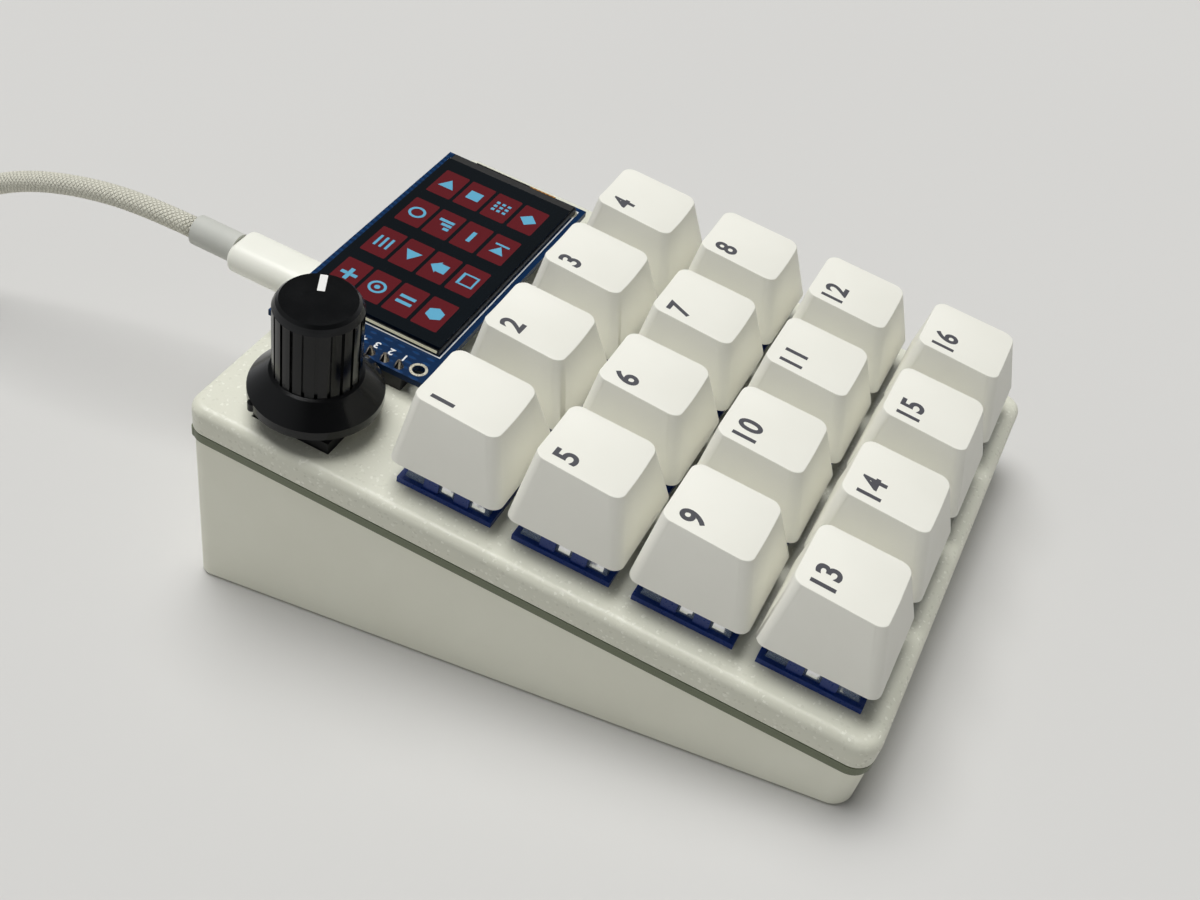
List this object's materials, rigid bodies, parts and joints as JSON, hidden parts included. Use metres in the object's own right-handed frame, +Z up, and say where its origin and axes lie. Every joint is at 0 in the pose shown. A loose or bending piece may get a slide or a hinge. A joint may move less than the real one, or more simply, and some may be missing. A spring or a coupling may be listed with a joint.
{
  "type": "macro keypad with knob",
  "caption": "Wedge-shaped desk keypad with a square grid of sprung keycaps, a fluted push-and-turn knob, a small flat screen and a woven cable that leaves the back.",
  "frame": {"origin": "on the table under the middle of the case, in the base's bottom face", "axes": "+X to the user's right, +Y away from the user, +Z up"},
  "size_m": [0.0905, 0.2881, 0.0573],
  "materials": {
    "case_base": "matte, fine printed layers",
    "case_top": "matte with fine sparkling grain",
    "board_green": "olive solder mask",
    "board_blue": "blue solder mask with white print",
    "steel": "satin",
    "brass": "knurled",
    "switch_blue": "satin",
    "switch_smoke": "smoky, see-through",
    "stem": "satin",
    "keycap": "fine grain, satin",
    "black_plastic": "satin",
    "knob_black": "gloss skirt, matte flutes",
    "screen_frame": "matte",
    "screen_glass": "gloss black",
    "flex_amber": "amber film",
    "plug_white": "satin white",
    "collar_white": "matte",
    "cable_woven": "woven sleeve"
  },
  "bodies": {
    "case": {"base_shell": "case_base", "top_plate": "case_top", "matrix_board": "board_green", "case_screws": "steel", "heat_set_inserts": "brass", "switch_lower_housings": "switch_blue", "switch_upper_housings": "switch_smoke", "switch_springs": "steel", "switch_contacts": "brass", "controller_board": "board_green", "usb_socket": "steel", "display_board": "board_blue", "display_header": "black_plastic", "display_frame": "screen_frame", "display_glass": "screen_glass", "display_flex": "flex_amber", "encoder_body": "black_plastic", "encoder_bushing": "steel", "plug_shell": "steel", "plug_body": "plug_white", "plug_collar": "collar_white", "cable": "cable_woven", "cable_coil": "cable_woven", "cable_tie": "collar_white", "far_plug": "plug_white"},
    "key_01": {"keycap_01": "keycap", "key_stem_01": "stem"},
    "key_02": {"keycap_02": "keycap", "key_stem_02": "stem"},
    "key_03": {"keycap_03": "keycap", "key_stem_03": "stem"},
    "key_04": {"keycap_04": "keycap", "key_stem_04": "stem"},
    "key_05": {"keycap_05": "keycap", "key_stem_05": "stem"},
    "key_06": {"keycap_06": "keycap", "key_stem_06": "stem"},
    "key_07": {"keycap_07": "keycap", "key_stem_07": "stem"},
    "key_08": {"keycap_08": "keycap", "key_stem_08": "stem"},
    "key_09": {"keycap_09": "keycap", "key_stem_09": "stem"},
    "key_10": {"keycap_10": "keycap", "key_stem_10": "stem"},
    "key_11": {"keycap_11": "keycap", "key_stem_11": "stem"},
    "key_12": {"keycap_12": "keycap", "key_stem_12": "stem"},
    "key_13": {"keycap_13": "keycap", "key_stem_13": "stem"},
    "key_14": {"keycap_14": "keycap", "key_stem_14": "stem"},
    "key_15": {"keycap_15": "keycap", "key_stem_15": "stem"},
    "key_16": {"keycap_16": "keycap", "key_stem_16": "stem"},
    "encoder_button": {"encoder_plunger": "black_plastic"},
    "knob": {"encoder_shaft": "steel", "knob": "knob_black"}
  },
  "joints": [
    {"name": "key_01_press", "type": "slide", "parent": "case", "child": "key_01", "axis": [0, 0.2181, -0.9759], "range_m": [0, 0.004], "stiffness_N_per_m": 150, "springref_m": -0.002, "deforming": ["switch_springs"]},
    {"name": "key_02_press", "type": "slide", "parent": "case", "child": "key_02", "axis": [0, 0.2181, -0.9759], "range_m": [0, 0.004], "stiffness_N_per_m": 150, "springref_m": -0.002, "deforming": ["switch_springs"]},
    {"name": "key_03_press", "type": "slide", "parent": "case", "child": "key_03", "axis": [0, 0.2181, -0.9759], "range_m": [0, 0.004], "stiffness_N_per_m": 150, "springref_m": -0.002, "deforming": ["switch_springs"]},
    {"name": "key_04_press", "type": "slide", "parent": "case", "child": "key_04", "axis": [0, 0.2181, -0.9759], "range_m": [0, 0.004], "stiffness_N_per_m": 150, "springref_m": -0.002, "deforming": ["switch_springs"]},
    {"name": "key_05_press", "type": "slide", "parent": "case", "child": "key_05", "axis": [0, 0.2181, -0.9759], "range_m": [0, 0.004], "stiffness_N_per_m": 150, "springref_m": -0.002, "deforming": ["switch_springs"]},
    {"name": "key_06_press", "type": "slide", "parent": "case", "child": "key_06", "axis": [0, 0.2181, -0.9759], "range_m": [0, 0.004], "stiffness_N_per_m": 150, "springref_m": -0.002, "deforming": ["switch_springs"]},
    {"name": "key_07_press", "type": "slide", "parent": "case", "child": "key_07", "axis": [0, 0.2181, -0.9759], "range_m": [0, 0.004], "stiffness_N_per_m": 150, "springref_m": -0.002, "deforming": ["switch_springs"]},
    {"name": "key_08_press", "type": "slide", "parent": "case", "child": "key_08", "axis": [0, 0.2181, -0.9759], "range_m": [0, 0.004], "stiffness_N_per_m": 150, "springref_m": -0.002, "deforming": ["switch_springs"]},
    {"name": "key_09_press", "type": "slide", "parent": "case", "child": "key_09", "axis": [0, 0.2181, -0.9759], "range_m": [0, 0.004], "stiffness_N_per_m": 150, "springref_m": -0.002, "deforming": ["switch_springs"]},
    {"name": "key_10_press", "type": "slide", "parent": "case", "child": "key_10", "axis": [0, 0.2181, -0.9759], "range_m": [0, 0.004], "stiffness_N_per_m": 150, "springref_m": -0.002, "deforming": ["switch_springs"]},
    {"name": "key_11_press", "type": "slide", "parent": "case", "child": "key_11", "axis": [0, 0.2181, -0.9759], "range_m": [0, 0.004], "stiffness_N_per_m": 150, "springref_m": -0.002, "deforming": ["switch_springs"]},
    {"name": "key_12_press", "type": "slide", "parent": "case", "child": "key_12", "axis": [0, 0.2181, -0.9759], "range_m": [0, 0.004], "stiffness_N_per_m": 150, "springref_m": -0.002, "deforming": ["switch_springs"]},
    {"name": "key_13_press", "type": "slide", "parent": "case", "child": "key_13", "axis": [0, 0.2181, -0.9759], "range_m": [0, 0.004], "stiffness_N_per_m": 150, "springref_m": -0.002, "deforming": ["switch_springs"]},
    {"name": "key_14_press", "type": "slide", "parent": "case", "child": "key_14", "axis": [0, 0.2181, -0.9759], "range_m": [0, 0.004], "stiffness_N_per_m": 150, "springref_m": -0.002, "deforming": ["switch_springs"]},
    {"name": "key_15_press", "type": "slide", "parent": "case", "child": "key_15", "axis": [0, 0.2181, -0.9759], "range_m": [0, 0.004], "stiffness_N_per_m": 150, "springref_m": -0.002, "deforming": ["switch_springs"]},
    {"name": "key_16_press", "type": "slide", "parent": "case", "child": "key_16", "axis": [0, 0.2181, -0.9759], "range_m": [0, 0.004], "stiffness_N_per_m": 150, "springref_m": -0.002, "deforming": ["switch_springs"]},
    {"name": "knob_press", "type": "slide", "parent": "case", "child": "encoder_button", "axis": [0, 0.2181, -0.9759], "range_m": [0, 0.0005], "stiffness_N_per_m": 2000, "springref_m": -0.0005},
    {"name": "knob_turn", "type": "hinge", "parent": "encoder_button", "child": "knob", "pos_m": [-0.031, 0.034, 0.03506], "axis": [0, -0.2181, 0.9759], "continuous": true}
  ]
}
